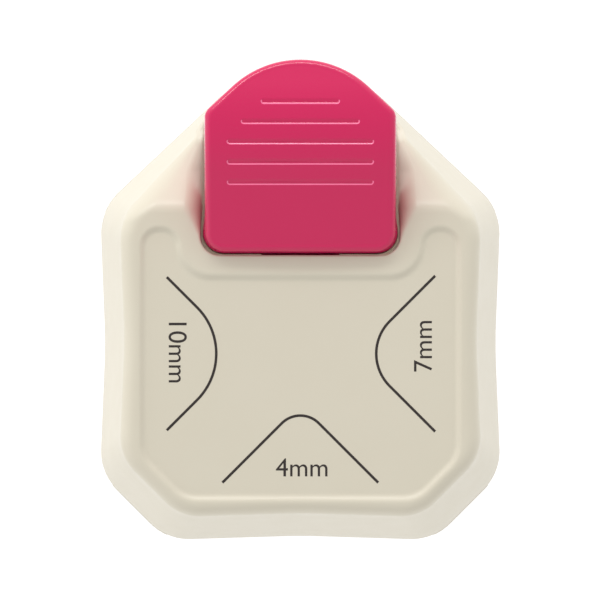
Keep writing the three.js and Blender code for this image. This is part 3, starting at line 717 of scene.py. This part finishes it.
def cap_shell():
    """The hollow cap: its rings run from the middle of the underside, down the skirt's inside,
    and back up over the outside to the middle of the top."""
    corners = [
        (0, CAP_APEX_Y, CAP_NOSE_R),
        (-CAP_HALF, CAP_SHOULDER_Y, 1.8),
        (-CAP_HALF, CAP_FRONT_Y, 2.9),
    ]
    half = left_half(corners)
    outline = both_sides(at_lengths(half, np.linspace(0, lengths(half)[-1], 150)))
    inwards = left_normals(outline)
    edge = outline + inwards * CAP_EDGE_R
    hollow = outline + inwards * CAP_WALL
    middle = np.column_stack([np.zeros(len(outline)), np.clip(edge[:, 1], 13, 29)])
    crest = cap_top(*edge.T)[:, None]
    side_z = crest - CAP_EDGE_R
    foot_z = cap_skirt(outline[:, 1])[:, None]
    flare = CAP_FLARE[0] + CAP_CORNER_FLARE * smooth_step((np.abs(outline[:, :1]) - 12) / 2)
    flare = flare + (CAP_FLARE[1] - flare) * smooth_step((outline[:, 1:] - 10) / 4)
    rings = []
    for share in np.linspace(1, 0, 9):
        place = hollow + (middle - hollow) * share
        rings.append(np.column_stack([place, cap_top(*place.T) - CAP_WALL]))
    rings.append(np.hstack([hollow, foot_z]))
    for inset, rise in ((0.3, 0), (0.08, 0.08), (0, 0.3)):
        rings.append(np.hstack([outline + inwards * (inset - 0.4 * flare), foot_z + rise]))
    for share in np.linspace(0, 1, 7)[1:]:
        z = foot_z + 0.3 + (side_z - foot_z - 0.3) * share
        bulge = flare * min(1, 0.4 + 1.8 * share) * (1 - share ** 3)
        rings.append(np.hstack([outline - inwards * bulge, z]))
    for turn in np.linspace(0, math.pi / 2, 8)[1:]:
        place = outline + inwards * CAP_EDGE_R * (1 - math.cos(turn))
        rings.append(np.hstack([place, side_z + (crest - side_z) * math.sin(turn)]))
    for share in np.linspace(0, 1, 60)[1:]:
        place = edge + (middle - edge) * share
        rings.append(np.column_stack([place, cap_top(*place.T)]))
    return lay_grid("lever_cap", rings)


def groove_tool(y, half):
    """A cutter for one finger groove: its floor falls gently forwards to a steep front wall."""
    r = GROOVE_HEIGHT / 2
    turn = np.linspace(-math.pi / 2, math.pi / 2, 13)
    right = np.column_stack([half - r + r * np.cos(turn), y + r * np.sin(turn)])
    across = np.linspace(half - r, r - half, 60)[1:-1]
    rear = np.column_stack([across, np.full(58, y + r)])
    front = np.column_stack([-across, np.full(58, y - r)])
    outline = np.vstack([right, rear, right[::-1] * (-1, 1), front])
    inwards = left_normals(outline)
    rings = []
    walls = ((0.44, 1), (0.36, 1), (0.27, 1), (0.2, 0.8), (0.13, 0.52), (0.06, 0.24), (0, 0.06))
    for inset, share in walls:
        place = outline + inwards * inset
        depth = GROOVE_DEPTH * np.clip((y + r - place[:, 1]) / GROOVE_HEIGHT, 0.2, 1)
        rings.append(np.column_stack([place, cap_top(*place.T) - depth * share]))
    rings.append(np.column_stack([outline - inwards * 0.05, cap_top(*outline.T) + 0.06]))
    rings.append(np.column_stack([outline - inwards * 0.3, np.full(len(outline), CAP_CREST[1] + 2)]))
    return lay_grid("groove", rings, fill_first=True, fill_last=True)


def paint_groove_highlights(piece):
    """Gives the front wall of each finger groove, round to its ends, the pale pink of a painted
    highlight.
    """
    def on_wall(m, _):
        i = round((m.y - GROOVE_FIRST_Y) / GROOVE_PITCH)
        if not 0 <= i < len(GROOVE_HALVES):
            return False
        r = GROOVE_HEIGHT / 2
        y = m.y - GROOVE_FIRST_Y - GROOVE_PITCH * i
        straight = GROOVE_HALVES[i] - r
        reach = math.hypot(max(abs(m.x) - straight, 0), y)
        depth = cap_top(m.x, m.y) - m.z
        return y < 0.15 and r - 0.2 < reach < r + 0.06 and 0.004 < depth < 1

    # the pale pink is a painted highlight along each groove's front wall
    piece.data.materials.append(groove_highlight_paint)
    edit(piece)
    select_where("faces", on_wall)
    piece.active_material_index = 1
    bpy.ops.object.material_slot_assign()
    done()


def lever_beam():
    """The arm that runs forwards under the panel to the hinge pin, with the pad half way."""
    pin = (PIN_LOW + PIN_HIGH) / 2
    profile = [
        (pin.y, pin.z + 0.9, 0), (-14.5, 28, 3), (8.85, 27.5, 1), (26, 37.2, 3), (26, 41.6, 0),
        (9.9, 35.6, 0), (8.85, 32, 0), (-22, 32, 4), (pin.y, pin.z + BOSS_R, 0),
    ]
    side = rounded(profile, 6)
    bpy.ops.object.select_all(action="DESELECT")
    bpy.ops.mesh.primitive_circle_add(vertices=len(side), fill_type="NGON")
    beam = named("lever_beam")
    points = np.column_stack([np.full(len(side), -BEAM_HALF), side]) * MM
    beam.data.vertices.foreach_set("co", points.ravel())
    edit(beam)
    bpy.ops.mesh.select_all(action="SELECT")
    bpy.ops.mesh.extrude_region_move(TRANSFORM_OT_translate={"value": (2 * BEAM_HALF * MM, 0, 0)})
    bpy.ops.mesh.select_all(action="SELECT")
    bpy.ops.mesh.normals_make_consistent(inside=False)
    done()
    settle(beam)
    boss = cross_rod("boss", pin.y, pin.z, BOSS_R, BEAM_HALF)
    pad = cross_rod("pad", PAD_Y, PAD_Z, PAD_R, BEAM_HALF)
    cut(beam, boss, pad, operation="UNION")
    cut(beam, cross_rod("bore", pin.y, pin.z, PIN_BORE_R, BEAM_HALF + 2))
    return soften(beam, 0.35, 2, 50)


def lever():
    cap = cap_shell()
    for i, half in enumerate(GROOVE_HALVES):
        cut(cap, groove_tool(GROOVE_FIRST_Y + GROOVE_PITCH * i, half))
    beam = lever_beam()
    smooth(cap, 30)
    smooth(beam, 30)
    pick_only(cap, beam)
    bpy.ops.object.join()
    return named("thumb_lever")


# ------------------------------------------------------------------ base and cover

def wedge_tool(vertex, heading, z0, z1):
    """A big corner of paper, pushed up to the stops."""
    turn = np.array([[math.cos(heading), -math.sin(heading)], [math.sin(heading), math.cos(heading)]])
    shape = np.array([(0, 0), (-60, 60), (-60, -60)]) @ turn.T + vertex
    return slab("wedge", shape, z0, z1)


def base_shell():
    body = slab("base_body", even_loop(casing_outline, 240) * BASE_TAPER, 0, BASE_HIGH.z, 1 / BASE_TAPER)
    edit(body, "EDGE")
    select_where("edges", lambda m, e: m.z < 0.01 and not e.is_boundary)
    bpy.ops.mesh.bevel(offset=BASE_EDGE * MM, segments=4)
    done()
    inner = inset_outline(casing_outline, BASE_WALL)
    ledge = inset_outline(casing_outline, BASE_WALL + BASE_LEDGE)
    cut(body, slab("pocket", even_loop(inner, 200), DIE_LOW.z - 0.1, BASE_HIGH.z + 1))
    cut(body, slab("chamber", even_loop(ledge, 200), BASE_FLOOR_Z, DIE_LOW.z))
    half = COVER_HIGH.x
    rear = COVER_HIGH.y + 0.3
    top = BASE_FLOOR_Z + 0.05
    cut(body, box("way", -half - 0.3, half + 0.3, -60, rear, COVER_LOW.z + 0.7, top),
        box("mouth", -half + 1.3, half - 1.3, -60, rear, -1, top))
    for i in range(1, 5):
        low, high = node_box(f"casing_screw_{i}")
        middle = (low + high) / 2
        cut(body, rod("counterbore", middle.x, middle.y, COUNTERBORE_R, -1, 4.2))
    for vertex, _, heading, _ in TEMPLATES:
        cut(body, wedge_tool(vertex, heading, DIE_HIGH.z, BASE_HIGH.z + 1))
    soften(body, 0.25, 2, 40)
    return smooth(body, 35)


def inset_outline(outline, distance):
    ring = even_loop(outline, 600)
    return ring + left_normals(ring) * distance


def chip_cover():
    low, high = COVER_LOW, COVER_HIGH
    cover = box("chip_tray_cover", low.x, high.x, low.y, high.y, low.z + COVER_LIP, high.z)
    edit(cover)
    select_where("faces", lambda m, f: f.normal.z < -0.9)
    bpy.ops.mesh.inset(thickness=1.6 * MM)
    bpy.ops.mesh.extrude_region_move(TRANSFORM_OT_translate={"value": (0, 0, -COVER_LIP * MM)})
    done()
    for rib in range(COVER_GRIPS):
        y = low.y + 4.2 + rib * 2
        cut(cover, box("grip", -8, 8, y, y + 1, -1, low.z + 0.45))
    soften(cover, 0.2, 2, 40)
    return smooth(cover, 35)


# ------------------------------------------------------------------ fasteners and springs

def casing_screw(node):
    """Pan head self-tapping screw seen from below, with a cross recess."""
    low, high = node_box(node)
    x, y = (low.x + high.x) / 2, (low.y + high.y) / 2
    head = rod(f"{node}_head", x, y, SCREW_HEAD_R, low.z, low.z + SCREW_HEAD_HEIGHT)
    edit(head)
    select_where("faces", lambda m, f: f.normal.z > 0.9)
    bpy.ops.mesh.inset(thickness=1.1 * MM)
    shank = high.z - low.z - SCREW_HEAD_HEIGHT - 1
    bpy.ops.mesh.extrude_region_move(TRANSFORM_OT_translate={"value": (0, 0, shank * MM)})
    bpy.ops.mesh.extrude_region_move(TRANSFORM_OT_translate={"value": (0, 0, MM)})
    bpy.ops.transform.resize(value=(0.4, 0.4, 1))
    select_where("edges", lambda m, e: abs(m.z - low.z) < 0.01 and len(e.link_faces) == 2)
    bpy.ops.mesh.bevel(offset=0.7 * MM, segments=4)
    done()
    for dx, dy in ((1.15, 0.28), (0.28, 1.15)):
        cut(head, box("slot", x - dx, x + dx, y - dy, y + dy, low.z - 1, low.z + 0.8))
    return smooth(head, 30)


def coil(node, x, y):
    """Compression spring: a small wire section swept up a helix by the screw modifier."""
    low, high = node_box(node)
    bpy.ops.object.select_all(action="DESELECT")
    bpy.ops.mesh.primitive_circle_add(vertices=12, radius=SPRING_WIRE_R * MM,
                                      location=(SPRING_R * MM, 0, 0), rotation=(math.pi / 2, 0, 0))
    spring = settle(named(f"{node}_coil"))
    rise = high.z - low.z - 2 * SPRING_WIRE_R
    steps = int(SPRING_TURNS * 32)
    finish_with(spring, "SCREW", screw_offset=rise * MM, iterations=1, steps=steps, render_steps=steps,
                angle=2 * math.pi * SPRING_TURNS, axis="Z", use_normal_calculate=True)
    edit(spring, "EDGE")
    select_where("edges", lambda m, e: e.is_boundary and m.z < SPRING_WIRE_R + 0.01)
    bpy.ops.mesh.edge_face_add()
    select_where("edges", lambda m, e: e.is_boundary)
    bpy.ops.mesh.edge_face_add()
    bpy.ops.mesh.select_all(action="SELECT")
    bpy.ops.mesh.normals_make_consistent(inside=False)
    done()
    spring.location = (x * MM, y * MM, (low.z + SPRING_WIRE_R) * MM)
    settle(spring)
    return smooth(spring, 40)


# ------------------------------------------------------------------ printed marks

def stroke(name, points, half, z, thickness):
    """A printed line of even width along points, as a thin flat ribbon with square ends."""
    points = np.asarray(points, float)
    along = np.gradient(points, axis=0)
    along /= np.hypot(*along.T)[:, None]
    side = np.column_stack([-along[:, 1], along[:, 0]]) * half
    low = np.full((len(points), 1), z)
    high = low + thickness
    rings = [np.hstack([points - side, low]), np.hstack([points - side, high]),
             np.hstack([points + side, high]), np.hstack([points + side, low]),
             np.hstack([points - side, low])]
    ribbon = lay_grid(name, rings, loop=False)
    edit(ribbon, "EDGE")
    bpy.ops.mesh.select_all(action="SELECT")
    bpy.ops.mesh.fill_holes(sides=4)
    bpy.ops.mesh.normals_make_consistent(inside=False)
    done()
    return ribbon


def template_line(vertex, radius, heading, reach):
    """A corner template: two 45 degree lines joined by the arc that the punch cuts."""
    turn = np.linspace(-math.pi / 4, math.pi / 4, 25)
    arc = np.column_stack([radius * np.cos(turn) - radius * math.sqrt(2), radius * np.sin(turn)])
    points = np.vstack([[-reach, -reach], arc, [-reach, reach]])
    spin = np.array([[math.cos(heading), -math.sin(heading)], [math.sin(heading), math.cos(heading)]])
    return points @ spin.T + vertex


def numerals(name, text, height, place, turn, z):
    bpy.ops.object.select_all(action="DESELECT")
    bpy.ops.object.text_add()
    piece = bpy.context.object
    piece.data.body = text
    piece.data.align_x = "CENTER"
    piece.data.align_y = "CENTER"
    piece.data.extrude = 0.01 * MM
    piece.data.size = height * MM
    bpy.ops.object.convert(target="MESH")
    named(name)
    piece.rotation_euler = (0, 0, turn)
    piece.location = (place[0] * MM, place[1] * MM, z * MM)
    return settle(piece)


def corner_marks():
    z = RIM_Z - PANEL_DEPTH - 0.01
    lines = []
    for template in TEMPLATES:
        lines.append(stroke("template", template_line(*template), LINE_HALF, z, INK_THICKNESS))
    words = [
        numerals("mark_10", "10mm", NUMERAL_HEIGHT, (-18.9, -7.3), -math.pi / 2, z + 0.01),
        numerals("mark_7", "7mm", NUMERAL_HEIGHT, (18.9, -6.6), math.pi / 2, z + 0.01),
        numerals("mark_4", "4mm", NUMERAL_HEIGHT, (0.3, -25.3), 0, z + 0.01),
    ]
    pick_only(*lines, *words)
    bpy.ops.object.join()
    return named("corner_marks")


# ------------------------------------------------------------------ the object

def dress_cad_nodes():
    """CAD pieces that show only through the slots keep their shape and get their finish."""
    finishes = {
        "die_plate": rolled_steel, "guide_plate": rolled_steel, "punch_carrier": rolled_steel,
        "spacer_plate": spacer_nylon, "lever_pin": ground_steel,
        "guide_post_left": ground_steel, "guide_post_right": ground_steel,
        "punch_10mm": ground_steel, "punch_7mm": ground_steel, "punch_4mm": ground_steel,
        "punch_10mm_screw": zinc_plate, "punch_7mm_screw": zinc_plate, "punch_4mm_screw": zinc_plate,
        **{f"plate_screw_{i}": zinc_plate for i in range(1, 5)},
    }
    for name, material in finishes.items():
        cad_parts[name].data.materials.clear()
        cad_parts[name].data.materials.append(material)


def replace(piece, material, slot, body, *nodes):
    finish_in(piece, material, body)
    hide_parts(*nodes)


dress_cad_nodes()
replace(upper_housing(), cream_abs, "casing_abs", "casing", "upper_housing")
replace(base_shell(), cream_abs, "casing_abs", "casing", "base_shell")
thumb_lever = lever()
replace(thumb_lever, pink_abs, "lever_abs", "lever", "lever")
# painted highlight along the front wall of each finger groove
paint_groove_highlights(thumb_lever)
replace(chip_cover(), cream_abs, "casing_abs", "chip_cover", "chip_cover")
for i in range(1, 5):
    replace(casing_screw(f"casing_screw_{i}"), zinc_plate, "zinc_steel", "casing", f"casing_screw_{i}")
for side in ("left", "right"):
    node = f"return_spring_{side}"
    low, high = node_box(node)
    spring = coil(node, (low.x + high.x) / 2, (low.y + high.y) / 2)
    replace(spring, drawn_wire, "spring_steel", "casing", node)
    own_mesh(spring)
finish_in(corner_marks(), mark_ink, "casing")


# ------------------------------------------------------------------ stage, light, camera

def stage():
    bpy.ops.object.select_all(action="DESELECT")
    bpy.ops.mesh.primitive_plane_add(size=2.4, location=(0, 0, -0.0001))
    floor = named("floor")
    material, tree, place = new_material("opal_acrylic_light_table")
    grain = add_node(tree, "ShaderNodeTexNoise", {"Vector": place}, Scale=1 / (2 * MM), Detail=2)
    tint = add_node(tree, "ShaderNodeMix", {"Factor": grain.outputs["Fac"]}, data_type="RGBA")
    tint.inputs["A"].default_value = srgb("#959595")
    tint.inputs["B"].default_value = srgb("#929292")
    shader = add_node(tree, "ShaderNodeBsdfPrincipled", {"Base Color": tint.outputs["Result"]},
                      Roughness=0.9)
    shader.inputs["Emission Color"].default_value = (1, 1, 1, 1)
    shader.inputs["Emission Strength"].default_value = FLOOR_GLOW
    close_material(tree, shader)
    floor.data.materials.append(material)


def tent():
    """A light tent round the object: its walls glow, most at the rear and the left, and the
    opening overhead is dim, so faces that look up keep their full colour."""
    world = bpy.data.worlds.new("tent")
    bpy.context.scene.world = world
    world.use_nodes = True
    tree = world.node_tree
    tree.nodes.clear()
    way = add_node(tree, "ShaderNodeTexCoord").outputs["Generated"]
    level = add_node(tree, "ShaderNodeVectorMath", {0: way}, operation="MULTIPLY")
    level.inputs[1].default_value = (1, 1, 0)
    wall = add_node(tree, "ShaderNodeVectorMath", {0: level.outputs[0], 1: level.outputs[0]},
                    operation="DOT_PRODUCT")
    lean = add_node(tree, "ShaderNodeVectorMath", {0: way}, operation="DOT_PRODUCT")
    lean.inputs[1].default_value = TENT_LEAN
    glow = add_node(tree, "ShaderNodeMath", {0: lean.outputs["Value"]}, operation="ADD")
    glow.inputs[1].default_value = TENT_WALL
    sides = add_node(tree, "ShaderNodeMath", {0: glow.outputs[0], 1: wall.outputs["Value"]},
                     operation="MULTIPLY_ADD")
    sides.inputs[2].default_value = TENT_TOP
    back = add_node(tree, "ShaderNodeBackground", {"Strength": sides.outputs[0]})
    back.inputs["Color"].default_value = (1, 1, 1, 1)
    add_node(tree, "ShaderNodeOutputWorld", {"Surface": back.outputs[0]})


def softbox():
    """A broad softbox behind the tool, low enough to shine off every edge that faces it."""
    light = bpy.data.lights.new("rear_softbox", "AREA")
    light.shape = "RECTANGLE"
    light.size, light.size_y = SOFTBOX_SIZE
    light.energy = SOFTBOX_POWER
    holder = bpy.data.objects.new("rear_softbox", light)
    holder.location = SOFTBOX_PLACE
    holder.rotation_euler = (Vector((0, 0, 0.03)) - holder.location).to_track_quat("-Z", "Y").to_euler()
    bpy.context.scene.collection.objects.link(holder)


def camera():
    data = bpy.data.cameras.new("camera")
    data.sensor_width = 36
    data.lens = CAMERA_LENS
    data.clip_end = 10
    holder = bpy.data.objects.new("camera", data)
    holder.location = CAMERA_PLACE
    bpy.context.scene.collection.objects.link(holder)
    bpy.context.scene.camera = holder


stage()
tent()
softbox()
camera()
bpy.context.scene.view_settings.view_transform = "Standard"
